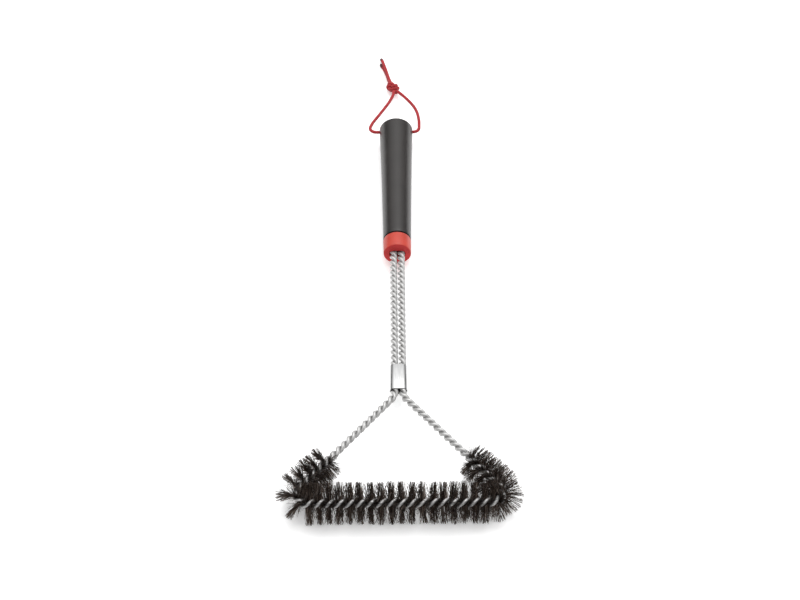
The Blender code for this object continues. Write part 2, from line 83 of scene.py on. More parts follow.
# Studio light.
DOME_AXIS = (0.03, 0.20, 0.98)
DOME_STRENGTH = 1.9
DOME_DIM_UP_TO = 0.40
DOME_DIM_SHARE = 0.09
DOME_FULL_FROM = 0.95
KEY_PLACE = (0.4, 0.8, 2.5)
KEY_SIZE = 1.6
KEY_WATTS = 18.0
FLOOR_HALF_SIZE = 6.0
FLOOR_DROP = 0.00005
FLOOR_GLOW = 0.35

# Grip and collar, with the frame's sizes and finer edges.
TURNED_SEGMENTS = 128
GRIP_STATIONS = 32
GRIP_MOUTH_RADIUS = 0.0127
GRIP_MOUTH_EDGE = 0.0003
GRIP_BORE_RADII = (0.0112, 0.0100)
GRIP_FLARE = 0.0009
GRIP_END_THICKNESS = 0.016
BUTT_EDGE_RADIUS = 0.0028
COUNTERBORE_RADIUS = 0.0121
COUNTERBORE_DEPTH = 0.0014
CORD_HOLE_RADIUS = 0.0019
CORD_HOLE_FLARE = 0.0007
SHADOW_GAP_WIDTH = 0.0017
COLLAR_RADIUS = 0.0128
COLLAR_REAR_EDGE = 0.0004
COLLAR_FACE_RADIUS = 0.0125
COLLAR_FACE_EDGE = 0.0010
COLLAR_NECK_RADIUS = 0.0117
NECK_CLEARANCE = 0.0003
SPIGOT_RADIUS = 0.0107
SLOT_WIDTH = 0.0147
SLOT_HEIGHT = 0.0080
SLOT_LIP = 0.0004
# Depth of the front face that is matte and painted darker as shade.
MATTE_AND_SHADE_DEPTH = 0.0008
BAND_WALL = 0.0006

# Wires, as in the frame: two left-hand twisted strands make one rope.
STRAND_RADIUS = 0.0016
TIGHT_OFFSET = 0.00175
CLAMPED_OFFSET = 0.00215
ROPE_X = 0.0035
BRUSH_PITCH = 0.0166
BRUSH_TURNS = 16
LEG_PITCH = 0.0137
LEG_TURNS = 7.5
STEM_PITCH = 0.0126
TWIST_SHIFT = 0.2
PITCHES = ((BRUSH_TURNS / 2, BRUSH_PITCH), (LEG_TURNS, LEG_PITCH), (math.inf, STEM_PITCH))
FORK_Y = BAR_Y + 0.1122
LEG_SPREAD = math.radians(38.7)
FORK_BEND_RADIUS = 0.010
CORNER_BEND_RADIUS = 0.0095
TAIL_PAST_CRIMP = 0.0015
STRAND_SIDES = 18
STRAND_STEPS_PER_TURN = 28
BAR_PIECE = 4
RIGHT_ARC_PIECE = 5

# Bristles: single filaments clamped between the strands.
FILAMENT_RADIUS = 0.00018
FILAMENT_SIDES = 5
FILAMENTS_PER_TURN = 250
FILAMENT_SEED = 21
FILAMENT_STATIONS = (-1.0, -0.72, -0.42, -0.14, 0.14, 0.42, 0.72, 1.0)
FILAMENT_TAPER = 0.25
END_TURNS = 2.0
END_SHORTER = 0.13
END_LEAN = 0.12

# How much the filaments scatter: the twist in turns, the roots in metres, lean and bend as slopes
# along the normal and along the rope, and the rest as shares of the reach.
TWIST_SCATTER = 0.018
ROOT_SCATTER = 0.00032
ROOT_SCATTER_ALONG = 0.0004
REACH_SCATTER = 0.045
CORNER_REACH_RANGE = (0.92, 1.65)
LEAN_SCATTER = (0.060, 0.080)
BEND_SCATTER = (0.055, 0.065)
STRAY_SHARE = 0.03
STRAY_FACTOR = 3.0
DRIFT_KNOTS_PER_TURN = 4
REACH_DRIFT = 0.022
LEAN_DRIFT = 0.05

# Cord.
CORD_RADIUS = 0.0015
CORD_SIDES = 20
CORD_STEP = 0.0003
LINE_STEP = 0.0004
SOFTEN_PASSES = 16
PLAITS = 4
PLAIT_LENGTH = 0.0022
PLAIT_RADII = (0.93, 1.01)
TIP_RADIUS = 0.0016
TIP_SLEEVE = 0.0034
TIP_BEAD_LENGTH = 0.0016
TIP_BEAD_START = 0.0006
TIP_UNEVENNESS = 0.04
TIP_SEED = 5

# The knot: two cords are pulled tight in rounds while their ends close in. The centre is measured
# from the cross hole. The last four values are in diameters of the squeezed cord.
KNOT_CENTRE = (-0.0024, 0.0772, -0.0103)
KNOT_TURN = math.radians(90.0)
KNOT_SQUEEZE = 0.89
KNOT_STRAND_LENGTH = 0.046
KNOT_POINTS = 72
KNOT_KEEP_EVERY = 3
KNOT_ROUNDS = 2600
KNOT_CLOSING_SHARE = 0.6
KNOT_PULL = (0.4, 0.12)
KNOT_STIFFNESS = 0.20
KNOT_CENTRING = 0.05
LOOSE_KNOT_SIZE = 1.5
LOOSE_CORD_GAP = 1.1
LOOSE_END_GAP = 6
SAME_TURN = 1.45

# Routes are the frame's, from the middle of the cross hole.
LEFT_ROUTE = (
    (-0.0163, 0.0000, 0.0000),
    (-0.0191, 0.0000, 0.0000),
    (-0.0221, 0.0008, -0.0001),
    (-0.0243, 0.0030, -0.0003),
    (-0.0251, 0.0059, -0.0006),
    (-0.0249, 0.0083, -0.0009),
    (-0.0238, 0.0122, -0.0014),
    (-0.0217, 0.0176, -0.0020),
    (-0.0166, 0.0285, -0.0035),
    (-0.0109, 0.0412, -0.0053),
    (-0.0069, 0.0506, -0.0067),
    (-0.0038, 0.0598, -0.0079),
    (-0.0023, 0.0655, -0.0087),
    (-0.0020, 0.0703, -0.0093),
)
RIGHT_ROUTE = (
    (0.0163, 0.0000, 0.0000),
    (0.0184, 0.0004, 0.0000),
    (0.0202, 0.0014, -0.0001),
    (0.0215, 0.0030, -0.0003),
    (0.0222, 0.0050, -0.0006),
    (0.0224, 0.0075, -0.0008),
    (0.0225, 0.0110, -0.0012),
    (0.0225, 0.0165, -0.0017),
    (0.0221, 0.0226, -0.0024),
    (0.0210, 0.0313, -0.0035),
    (0.0189, 0.0393, -0.0045),
    (0.0156, 0.0473, -0.0055),
    (0.0101, 0.0577, -0.0071),
    (0.0055, 0.0652, -0.0084),
    (0.0018, 0.0708, -0.0094),
)
LONG_TAIL_ROUTE = (
    (-0.0044, 0.0834, -0.0091),
    (-0.0064, 0.0905, -0.0107),
    (-0.0084, 0.0992, -0.0110),
    (-0.0103, 0.1080, -0.0110),
    (-0.0122, 0.1160, -0.0111),
    (-0.0132, 0.1204, -0.0117),
    (-0.0140, 0.1240, -0.0131),
)
SHORT_TAIL_ROUTE = (
    (-0.0046, 0.0834, -0.0126),
    (-0.0064, 0.0912, -0.0143),
    (-0.0084, 0.1000, -0.0144),
    (-0.0110, 0.1092, -0.0144),
    (-0.0142, 0.1166, -0.0144),
)


# ---------------------------------------------------------------- materials


class Nodes:
    """A small helper that adds and links shader nodes of one material."""

    def __init__(self, name):
        self.material = bpy.data.materials.new(name)
        self.material.use_nodes = True
        self.tree = self.material.node_tree
        self.shader = self.tree.nodes["Principled BSDF"]
        self.coords = self.tree.nodes.new("ShaderNodeTexCoord").outputs["Object"]

    def add(self, kind, **inputs):
        node = self.tree.nodes.new(kind)
        for key, value in inputs.items():
            socket = node.inputs[key.replace("_", " ")]
            self.feed(socket, value)
        return node

    def feed(self, socket, value):
        if isinstance(value, bpy.types.NodeSocket):
            self.tree.links.new(value, socket)
        else:
            socket.default_value = value

    def set(self, **inputs):
        for key, value in inputs.items():
            self.feed(self.shader.inputs[key.replace("_", " ")], value)

    def noise(self, scale, detail=2.0, stretch=(1.0, 1.0, 1.0)):
        mapped = self.add("ShaderNodeMapping", Vector=self.coords, Scale=stretch).outputs["Vector"]
        return self.add("ShaderNodeTexNoise", Vector=mapped, Scale=scale, Detail=detail).outputs["Fac"]

    def attribute(self, name):
        node = self.tree.nodes.new("ShaderNodeAttribute")
        node.attribute_name = name
        return node.outputs["Fac"]

    def ramp(self, factor, stops):
        """stops are (position, value or colour)."""
        node = self.add("ShaderNodeValToRGB", Fac=factor)
        elements = node.color_ramp.elements
        while len(elements) < len(stops):
            elements.new(1.0)
        for element, (position, value) in zip(elements, stops):
            colour = value if isinstance(value, tuple) else (value, value, value)
            element.position = position
            element.color = (*colour, 1.0)
        return node.outputs["Color"]

    def multiply_colour(self, a, b, share=1.0):
        node = self.tree.nodes.new("ShaderNodeMix")
        node.data_type = "RGBA"
        node.blend_type = "MULTIPLY"
        self.feed(node.inputs["Factor"], share)
        self.feed(node.inputs["A"], a)
        self.feed(node.inputs["B"], b)
        return node.outputs["Result"]

    def bump(self, height, distance, strength=1.0):
        node = self.add("ShaderNodeBump", Height=height, Distance=distance, Strength=strength)
        self.tree.links.new(node.outputs["Normal"], self.shader.inputs["Normal"])


def grip_material():
    n = Nodes("grip_black")
    colour = n.ramp(n.noise(60.0, 4.0), ((0.30, (0.015, 0.0125, 0.0115)), (0.75, (0.022, 0.0185, 0.017))))
    n.set(Base_Color=colour, Roughness=n.ramp(n.noise(900.0, 3.0), ((0.3, 0.29), (0.7, 0.37))))
    n.set(Specular_IOR_Level=0.50)
    n.bump(n.noise(4200.0, 2.0), 0.00006, 0.5)
    return n.material


def collar_material():
    n = Nodes("collar_red")
    colour = n.ramp(n.noise(90.0, 3.0), ((0.3, (0.47, 0.042, 0.024)), (0.7, (0.55, 0.051, 0.029))))
    # Painted shade: the neck in the gap at the grip is painted nearly black.
    gap_shade = n.ramp(n.attribute("gap_shade"), ((0.0, 1.0), (1.0, 0.03)))
    # Painted shade: the front face is painted darker and deeper red as shade; it is also rougher, a matte
    # finish.
    matte_and_face_shade = n.ramp(n.attribute("matte_and_face_shade"), ((0.0, (1.0, 1.0, 1.0)), (1.0, (0.98, 0.42, 0.75))))
    n.set(Base_Color=n.multiply_colour(n.multiply_colour(colour, gap_shade), matte_and_face_shade))
    grain = n.ramp(n.noise(1200.0, 2.0), ((0.3, 0.66), (0.7, 0.82)))
    polish = n.ramp(n.attribute("matte_and_face_shade"), ((0.0, 0.58), (1.0, 1.0)))
    n.set(Roughness=n.multiply_colour(grain, polish), Specular_IOR_Level=0.50)
    n.bump(n.noise(5200.0, 2.0), 0.00004, 0.3)
    return n.material


def core_material():
    n = Nodes("core_nylon")
    colour = n.ramp(n.noise(300.0, 3.0), ((0.3, (0.20, 0.20, 0.21)), (0.7, (0.32, 0.32, 0.33))))
    n.set(Base_Color=colour, Roughness=n.ramp(n.noise(1500.0), ((0.3, 0.5), (0.7, 0.65))))
    n.bump(n.noise(3000.0), 0.00005, 0.4)
    return n.material


def ferrule_material():
    n = Nodes("ferrule_steel")
    scuffs = n.noise(700.0, 4.0, (1.0, 0.12, 1.0))
    colour = n.ramp(scuffs, ((0.25, (0.47, 0.47, 0.47)), (0.75, (0.55, 0.55, 0.55))))
    n.set(Base_Color=colour, Metallic=1.0, Roughness=n.ramp(scuffs, ((0.3, 0.10), (0.75, 0.20))))
    n.bump(scuffs, 0.00003, 0.25)
    return n.material


def wire_material():
    n = Nodes("wire_steel")
    # Painted shade: the wire is darker towards the crevice between the two wires.
    crevice = n.ramp(n.attribute("crevice"), ((0.35, 1.0), (0.95, 0.74)))
    # Painted shade: on the stretch among the bristles the wire is darker still everywhere but along its
    # crest.
    shade_off_crest = n.ramp(n.attribute("crevice"), ((0.02, 1.0), (0.30, 0.34)))
    drawn = n.ramp(n.noise(500.0, 4.0), ((0.3, (0.52, 0.517, 0.512)), (0.7, (0.62, 0.616, 0.61))))
    steel_with_crevice_shade = n.multiply_colour(drawn, crevice)
    n.set(Base_Color=n.multiply_colour(steel_with_crevice_shade, shade_off_crest, n.attribute("bristle_shade")), Metallic=0.6)
    n.set(Roughness=n.ramp(n.noise(1400.0, 3.0), ((0.3, 0.42), (0.7, 0.56))))
    n.bump(n.noise(2500.0, 3.0), 0.00004, 0.3)
    return n.material


def bristle_material():
    n = Nodes("bristle_steel")
    tone = n.ramp(
        n.attribute("tone"),
        ((0.0, (0.030, 0.0195, 0.0140)), (0.75, (0.100, 0.073, 0.057)), (1.0, (0.36, 0.30, 0.26))),
    )
    n.set(Base_Color=tone, Metallic=0.85)
    n.set(Roughness=n.ramp(n.noise(2500.0), ((0.3, 0.32), (0.7, 0.48))))
    n.bump(n.noise(6000.0), 0.00002, 0.3)
    return n.material


def cord_material():
    n = Nodes("cord_braid")
    # Painted shade: the cord is darker in the grooves between the plaits.
    weave = n.ramp(n.attribute("weave"), ((0.0, (0.26, 0.010, 0.014)), (0.7, (0.43, 0.024, 0.030))))
    faded = n.ramp(n.noise(160.0, 3.0), ((0.3, 0.85), (0.7, 1.0)))
    n.set(Base_Color=n.multiply_colour(weave, faded))
    n.set(Roughness=n.ramp(n.noise(2500.0), ((0.3, 0.7), (0.7, 0.9))))
    n.set(Sheen_Weight=0.12, Sheen_Roughness=0.4)
    n.bump(n.noise(9000.0, 2.0), 0.00004, 0.5)
    return n.material


def tip_material():
    n = Nodes("cord_melted")
    colour = n.ramp(n.noise(1200.0, 3.0), ((0.3, (0.042, 0.007, 0.010)), (0.7, (0.10, 0.014, 0.019))))
    n.set(Base_Color=colour, Roughness=n.ramp(n.noise(2200.0), ((0.3, 0.40), (0.7, 0.60))))
    n.bump(n.noise(3000.0), 0.00008, 0.5)
    return n.material


def floor_material():
    n = Nodes("floor_white")
    colour = n.ramp(n.noise(3.0, 3.0), ((0.3, (0.90, 0.90, 0.90)), (0.7, (0.92, 0.92, 0.92))))
    n.set(Base_Color=colour, Roughness=n.ramp(n.noise(200.0), ((0.3, 0.75), (0.7, 0.85))))
    # The floor glows faintly, a painted light that lifts the shadows on it and lights the brush from below.
    n.set(Specular_IOR_Level=0.2, Emission_Color=(1.0, 1.0, 1.0, 1.0), Emission_Strength=FLOOR_GLOW)
    return n.material


# ---------------------------------------------------------------- mesh helpers


def link(name, mesh, material):
    mesh.materials.append(material)
    obj = bpy.data.objects.new(name, mesh)
    bpy.context.scene.collection.objects.link(obj)
    return obj


def finish_mesh(name, bm, material, sharp_degrees=35.0):
    bmesh.ops.recalc_face_normals(bm, faces=bm.faces)
    mesh = bpy.data.meshes.new(name)
    bm.to_mesh(mesh)
    bm.free()
    mesh.shade_smooth()
    mesh.set_sharp_from_angle(angle=math.radians(sharp_degrees))
    return link(name, mesh, material)


def bridge(bm, ring_a, ring_b):
    """Joins two rings of vertices; a ring of one vertex is a pole."""
    count = max(len(ring_a), len(ring_b))
    for i in range(count):
        j = (i + 1) % count
        corners = [ring_a[i % len(ring_a)], ring_a[j % len(ring_a)]]
        corners += [ring_b[j % len(ring_b)], ring_b[i % len(ring_b)]]
        bm.faces.new(list(dict.fromkeys(corners)))


def turned_bmesh(profile, segments):
    """A solid turned about the Y axis, from (radius, y) points that start and end on the axis."""
    bm = bmesh.new()
    rings = []
    for radius, y in profile:
        if radius == 0.0:
            rings.append([bm.verts.new((0.0, y, 0.0))])
            continue
        angles = [math.tau * i / segments for i in range(segments)]
        rings.append([bm.verts.new((radius * math.cos(a), y, radius * math.sin(a))) for a in angles])
    for ring_a, ring_b in zip(rings, rings[1:]):
        bridge(bm, ring_a, ring_b)
    return bm


def round_edge(radius, y, edge, steps, towards):
    """Points of a rounded outer edge, from the side to the end face; towards is +1 for a +Y end."""
    points = []
    for i in range(steps + 1):
        a = math.pi / 2 * i / steps
        points.append((radius - edge * (1.0 - math.cos(a)), y - towards * edge * (1.0 - math.sin(a))))
    return points


def cut(target, cutter_bm):
    """Cuts a shape out of the target for good."""
    cutter = finish_mesh("cutter", cutter_bm, target.data.materials[0])
    boolean = target.modifiers.new("cut", "BOOLEAN")
    boolean.operation = "DIFFERENCE"
    boolean.solver = "EXACT"
    boolean.object = cutter
    graph = bpy.context.evaluated_depsgraph_get()
    made = bpy.data.meshes.new_from_object(target.evaluated_get(graph))
    target.modifiers.clear()
    target.data = made
    made.set_sharp_from_angle(angle=math.radians(35.0))
    bpy.data.objects.remove(cutter, do_unlink=True)


def obround(width, height, segments):
    """Points (x, z) round a slot outline with semicircular ends."""
    radius = height / 2
    offset = width / 2 - radius
    points = []
    for side in (1, -1):
        for i in range(segments // 2 + 1):
            a = -math.pi / 2 + math.pi * i / (segments // 2)
            points.append((side * (offset + radius * math.cos(a)), side * radius * math.sin(a)))
    return points


def obround_loft(sections, segments, closed_tube):
    """A loft along Y of obround outlines, from (width, height, y) sections."""
    bm = bmesh.new()
    rings = []
    for width, height, y in sections:
        rings.append([bm.verts.new((x, y, z)) for x, z in obround(width, height, segments)])
    followers = rings[1:] + (rings[:1] if closed_tube else [])
    for ring_a, ring_b in zip(rings, followers):
        bridge(bm, ring_a, ring_b)
    if not closed_tube:
        bm.faces.new(rings[0])
        bm.faces.new(rings[-1][::-1])
    return bm


def shift(bm, offset):
    bmesh.ops.translate(bm, verts=bm.verts, vec=offset)
    return bm


def place(obj, body, slot_name, *replaced):
    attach(obj, body)
    if replaced:
        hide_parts(*replaced)


# ---------------------------------------------------------------- grip, collar and ferrule


def grip_radius(share):
    """The grip's radius at a share of the way from its mouth to its butt."""
    straight = BUTT_RADIUS - GRIP_MOUTH_RADIUS - GRIP_FLARE
    return GRIP_MOUTH_RADIUS + straight * share + GRIP_FLARE * share**3


def make_grip(material):
    """The moulded grip, bored from its mouth, with a flared cross hole for the cord."""
    sides = []
    run = BUTT_Y - BUTT_EDGE_RADIUS - GRIP_MOUTH_Y
    for i in range(1, GRIP_STATIONS):
        share = i / GRIP_STATIONS
        sides.append((grip_radius(share), GRIP_MOUTH_Y + run * share))
    counterbore_end = GRIP_MOUTH_Y + COUNTERBORE_DEPTH
    profile = [
        (0.0, BUTT_Y - GRIP_END_THICKNESS),
        (GRIP_BORE_RADII[1], BUTT_Y - GRIP_END_THICKNESS),
        (GRIP_BORE_RADII[0], counterbore_end),
        (COUNTERBORE_RADIUS, counterbore_end),
        (COUNTERBORE_RADIUS, GRIP_MOUTH_Y),
        *reversed(round_edge(GRIP_MOUTH_RADIUS, GRIP_MOUTH_Y, GRIP_MOUTH_EDGE, 4, -1)),
        *sides,
        *round_edge(BUTT_RADIUS, BUTT_Y, BUTT_EDGE_RADIUS, 12, 1),
        (0.0, BUTT_Y),
    ]
    bm = shift(turned_bmesh(profile, TURNED_SEGMENTS), (0.0, 0.0, STEM_Z))
    grip = finish_mesh("grip_shell", bm, material)
    mouth = BUTT_RADIUS - 0.0001
    far = 3 * BUTT_RADIUS
    steps = 6
    hole = [(0.0, -far), (CORD_HOLE_RADIUS + CORD_HOLE_FLARE, -far)]
    for side in (-1, 1):
        for i in range(steps + 1):
            t = i / steps if side > 0 else 1.0 - i / steps
            grow = CORD_HOLE_FLARE * (1.0 - math.sqrt(1.0 - t * t))
            hole.append((CORD_HOLE_RADIUS + grow, side * (mouth - CORD_HOLE_FLARE * (1.0 - t))))
    hole += [(CORD_HOLE_RADIUS + CORD_HOLE_FLARE, far), (0.0, far)]
    cutter = turned_bmesh(hole, 40)
    bmesh.ops.rotate(cutter, verts=cutter.verts, matrix=Matrix.Rotation(-math.pi / 2, 3, "Z"))
    cut(grip, shift(cutter, CORD_HOLE))
    place(grip, "brush", "grip", "handle_grip")


def make_collar(material):
    """The collar with its slot. Its attributes mark the painted shade in the gap at the grip, and the matte
    front face, which is also painted darker as shade.
    """
    face = COLLAR_LOW.y
    rear = COLLAR_HIGH.y
    flange = GRIP_MOUTH_Y - SHADOW_GAP_WIDTH
    neck_end = GRIP_MOUTH_Y + COUNTERBORE_DEPTH - NECK_CLEARANCE
    profile = [
        (0.0, face),
        *reversed(round_edge(COLLAR_FACE_RADIUS, face, COLLAR_FACE_EDGE, 8, -1)),
        *round_edge(COLLAR_RADIUS, flange, COLLAR_REAR_EDGE, 5, 1),
        (COLLAR_NECK_RADIUS, flange),
        (COLLAR_NECK_RADIUS, neck_end),
        (SPIGOT_RADIUS, neck_end),
        (SPIGOT_RADIUS, rear),
        (0.0, rear),
    ]
    bm = shift(turned_bmesh(profile, TURNED_SEGMENTS), (0.0, 0.0, STEM_Z))
    collar = finish_mesh("collar_ring", bm, material)
    beyond = 0.01
    steps = 5
    sections = [(SLOT_WIDTH + 2 * SLOT_LIP, SLOT_HEIGHT + 2 * SLOT_LIP, face - beyond)]
    for i in range(steps + 1):
        a = math.pi / 2 * i / steps
        grow = 2 * SLOT_LIP * (1.0 - math.sin(a))
        sections.append((SLOT_WIDTH + grow, SLOT_HEIGHT + grow, face + SLOT_LIP * (1.0 - math.cos(a))))
    sections.append((SLOT_WIDTH, SLOT_HEIGHT, rear + beyond))
    cut(collar, shift(obround_loft(sections, 48, False), (0.0, 0.0, STEM_Z)))
    mesh = collar.data
    slack = 0.00005
    rim = COLLAR_RADIUS - COLLAR_REAR_EDGE + slack
    # Painted shade: vertices in the gap at the grip are marked to be painted nearly black.
    gap_shade = []
    # Painted shade: the front face, within its depth, is marked to be painted darker as shade and made
    # rougher.
    matte_and_face_shade = []
    for vert in mesh.vertices:
        radius = math.hypot(vert.co.x, vert.co.z - STEM_Z)
        gap_shade.append(1.0 if vert.co.y > flange - slack and radius < rim else 0.0)
        matte_and_face_shade.append(max(gap_shade[-1], 1.0 - (vert.co.y - face) / MATTE_AND_SHADE_DEPTH))
    mesh.attributes.new("gap_shade", "FLOAT", "POINT").data.foreach_set("value", gap_shade)
    mesh.attributes.new("matte_and_face_shade", "FLOAT", "POINT").data.foreach_set("value", matte_and_face_shade)
    place(collar, "brush", "collar", "front_collar")


def make_band(name, low, high, material, replaced):
    """A polished obround band with rolled edges."""
    width = high.x - low.x
    height = high.z - low.z
    lip = BAND_WALL / 2
    steps = 8
    sections = []
    for end, towards in ((low.y, -1), (high.y, 1)):
        arc = []
        for i in range(steps + 1):
            a = math.pi * i / steps
            inset = lip * (1.0 - math.cos(a))
            arc.append((width - 2 * inset, height - 2 * inset, end - towards * lip * (1.0 - math.sin(a))))
        sections += arc[::-1] if towards < 0 else arc
    bm = shift(obround_loft(sections, 72, True), (0.0, 0.0, STEM_Z))
    band = finish_mesh(name, bm, material, 50.0)
    place(band, "brush", "ferrule", replaced)


# ---------------------------------------------------------------- rope path


class Path:
    """A line through corner points, each rounded to its bend radius, measured from its middle."""

    def __init__(self, corners, radii):
        self.pieces = []
        start = corners[0]
        for before, corner, after, radius in zip(corners, corners[1:], corners[2:], radii):
            come = (corner - before).normalized()
            leave = (after - corner).normalized()
            turn = come.angle(leave)
            tangent = radius * math.tan(turn / 2)
            first = corner - come * tangent
            self.add_line(start, first)
            inward = (leave - come * come.dot(leave)).normalized()
            self.pieces.append((radius * turn, first, come, inward, radius))
            start = corner + leave * tangent
        self.add_line(start, corners[-1])
        self.length = sum(piece[0] for piece in self.pieces)

    def add_line(self, start, end):
        run = end - start
        self.pieces.append((run.length, start, run.normalized(), None, 0.0))

    def at(self, s):
        """The point and the direction of travel at s, counted from the middle of the path."""
        left = s + self.length / 2
        for length, start, direction, inward, radius in self.pieces[:-1]:
            if left <= length:
                break
            left -= length
        else:
            length, start, direction, inward, radius = self.pieces[-1]
        if inward is None:
            return start + direction * left, direction
        a = left / radius
        point = start + inward * (radius - radius * math.cos(a)) + direction * (radius * math.sin(a))
        return point, direction * math.cos(a) + inward * math.sin(a)


def rope_path():
    """The rope's middle line, from the left end in the grip, round the head and back."""
    corner_x = ROPE_X + (FORK_Y - BAR_Y) * math.tan(LEG_SPREAD)
    half = [
        Vector((ROPE_X, CRIMP_HIGH.y + TAIL_PAST_CRIMP, STEM_Z)),
        Vector((ROPE_X, FORK_Y, STEM_Z)),
        Vector((corner_x, BAR_Y, HEAD_Z)),
    ]
    mirrored = [Vector((-p.x, p.y, p.z)) for p in half]
    bends = [FORK_BEND_RADIUS, CORNER_BEND_RADIUS]
    return Path(mirrored + half[::-1], bends + bends[::-1])


PATH = rope_path()


def turns_at(s):
    """How far the rope has twisted at s, in turns from the middle of the bar."""
    left = abs(s)
    turns = 0.0
    for count, pitch in PITCHES:
        run = min(left, count * pitch)
        turns += run / pitch
        left -= run
    return math.copysign(turns, s)


def place_of(turns):
    """The place s at which the rope has made that many turns."""
    left = abs(turns)
    s = 0.0
    for count, pitch in PITCHES:
        part = min(left, count)
        s += part * pitch
        left -= part
    return math.copysign(s, turns)


def rope_frame(s, extra_turn=0.0):
    """Centre, across direction, normal and direction of travel at s, turned with the twist."""
    centre, along = PATH.at(s)
    up = (UP - along * UP.dot(along)).normalized()
    inward = up.cross(along)
    a = math.tau * (TWIST_SHIFT - turns_at(s) + extra_turn)
    across = inward * math.cos(a) + up * math.sin(a)
    normal = up * math.cos(a) - inward * math.sin(a)
    return centre, across, normal, along


def strand_offset(s):
    """How far a strand's centre is from the rope's: wider where bristles lie between them."""
    past = max(0.0, abs(s) - BRUSH_TURNS * BRUSH_PITCH / 2) / LEG_PITCH
    return TIGHT_OFFSET + (CLAMPED_OFFSET - TIGHT_OFFSET) * max(0.0, 1.0 - past)


def inner_limit(s):
    """How far bristles may reach into the head at s before they meet those across the corner."""
    bar_half = PATH.pieces[BAR_PIECE][0] / 2
    arc_length = PATH.pieces[RIGHT_ARC_PIECE][0]
    turn = arc_length / CORNER_BEND_RADIUS
    past_arc = max(bar_half - abs(s), abs(s) - bar_half - arc_length, 0.0)
    return CORNER_BEND_RADIUS + past_arc / math.tan(turn / 2)


# ---------------------------------------------------------------- wires


def make_strand(name, side, material, replaced):
    """One wire. Its attributes mark the crevice between the wires and the stretch among the bristles, where
    the material paints shade.
    """

    def centre_at(s):
        centre, _, normal, _ = rope_frame(s)
        return centre + normal * (side * strand_offset(s))

    steps = math.floor(turns_at(PATH.length / 2) * STRAND_STEPS_PER_TURN)
    small = STRAND_RADIUS / 10
    bm = bmesh.new()
    crevice_layer = bm.verts.layers.float.new("crevice")
    bristle_shade_layer = bm.verts.layers.float.new("bristle_shade")
    brush_steps = BRUSH_TURNS / 2 * STRAND_STEPS_PER_TURN
    rings = []
    for i in range(-steps, steps + 1):
        s = place_of(i / STRAND_STEPS_PER_TURN)
        centre = centre_at(s)
        along = (centre_at(s + small) - centre_at(s - small)).normalized()
        outward = rope_frame(s)[2] * side
        outward = (outward - along * outward.dot(along)).normalized()
        sideways = along.cross(outward)
        # Painted shade: the wire's colour is darkened towards the other wire and, among the bristles, away
        # from its crest.
        bristle_shade = 1.0 if abs(i) < brush_steps else 0.0
        ring = []
        for j in range(STRAND_SIDES):
            a = math.tau * j / STRAND_SIDES
            spoke = outward * math.cos(a) + sideways * math.sin(a)
            vert = bm.verts.new(centre + spoke * STRAND_RADIUS)
            vert[crevice_layer] = 0.5 - 0.5 * math.cos(a)
            vert[bristle_shade_layer] = bristle_shade
            ring.append(vert)
        rings.append(ring)
    for ring_a, ring_b in zip(rings, rings[1:]):
        bridge(bm, ring_a, ring_b)
    bm.faces.new(rings[0])
    bm.faces.new(rings[-1][::-1])
    place(finish_mesh(name, bm, material, 60.0), "brush", "wire", replaced)


# ---------------------------------------------------------------- bristles


class Drift:
    """A value that wanders smoothly along the rope, separately for the filaments' two halves."""

    def __init__(self, draw, spread):
        count = DRIFT_KNOTS_PER_TURN * BRUSH_TURNS + 2
        self.knots = [[draw.gauss(0.0, spread) for _ in range(count)] for _ in range(2)]

    def at(self, turn, side):
        place = (turn + BRUSH_TURNS / 2) * DRIFT_KNOTS_PER_TURN
        i = max(0, min(int(place), DRIFT_KNOTS_PER_TURN * BRUSH_TURNS))
        row = self.knots[(side + 1) // 2]
        return row[i] + (row[i + 1] - row[i]) * (place - i)


def filament_line(turn, draw, reach_drift, lean_drift):
    """Points along one filament, from tip to tip, through the clamp between the strands."""
    s = place_of(turn)
    centre, across, normal, along = rope_frame(s, draw.gauss(0.0, TWIST_SCATTER))
    root = normal * draw.uniform(-ROOT_SCATTER, ROOT_SCATTER)
    root += along * draw.uniform(-ROOT_SCATTER_ALONG, ROOT_SCATTER_ALONG)
    inner = inner_limit(s)
    inwardness = math.cos(math.tau * (TWIST_SHIFT - turn))
    near_end = max(0.0, 1.0 - (BRUSH_TURNS / 2 - abs(turn)) / END_TURNS)
    full_reach = BRISTLE_REACH * (1.0 - END_SHORTER * near_end)
    arms = {}
    for side in (-1, 1):
        reach = full_reach * (1.0 - abs(draw.gauss(0.0, REACH_SCATTER)) + reach_drift.at(turn, side))
        towards_inside = side * inwardness
        most = inner * draw.uniform(*CORNER_REACH_RANGE)
        if towards_inside * reach > most:
            reach = most / towards_inside
        stray = STRAY_FACTOR if draw.random() < STRAY_SHARE else 1.0
        lean = Vector([draw.gauss(0.0, scatter) for scatter in LEAN_SCATTER]) * stray
        lean.y += lean_drift.at(turn, side) - math.copysign(END_LEAN * near_end, turn)
        bend = Vector([draw.gauss(0.0, scatter) for scatter in BEND_SCATTER]) * stray
        arms[side] = (reach, lean, bend)
    line = []
    for share in FILAMENT_STATIONS:
        reach, lean, bend = arms[1 if share > 0 else -1]
        w = abs(share) * reach
        sweep = abs(share) * w
        offset = normal * (lean.x * w + bend.x * sweep) + along * (lean.y * w + bend.y * sweep)
        spread = math.sqrt(max(0.2, 1.0 - (offset.length / max(w, 1e-6)) ** 2))
        point = centre + root + across * (math.copysign(w, share) * spread) + offset
        point.z = max(point.z, FILAMENT_RADIUS)
        line.append(point)
    return line


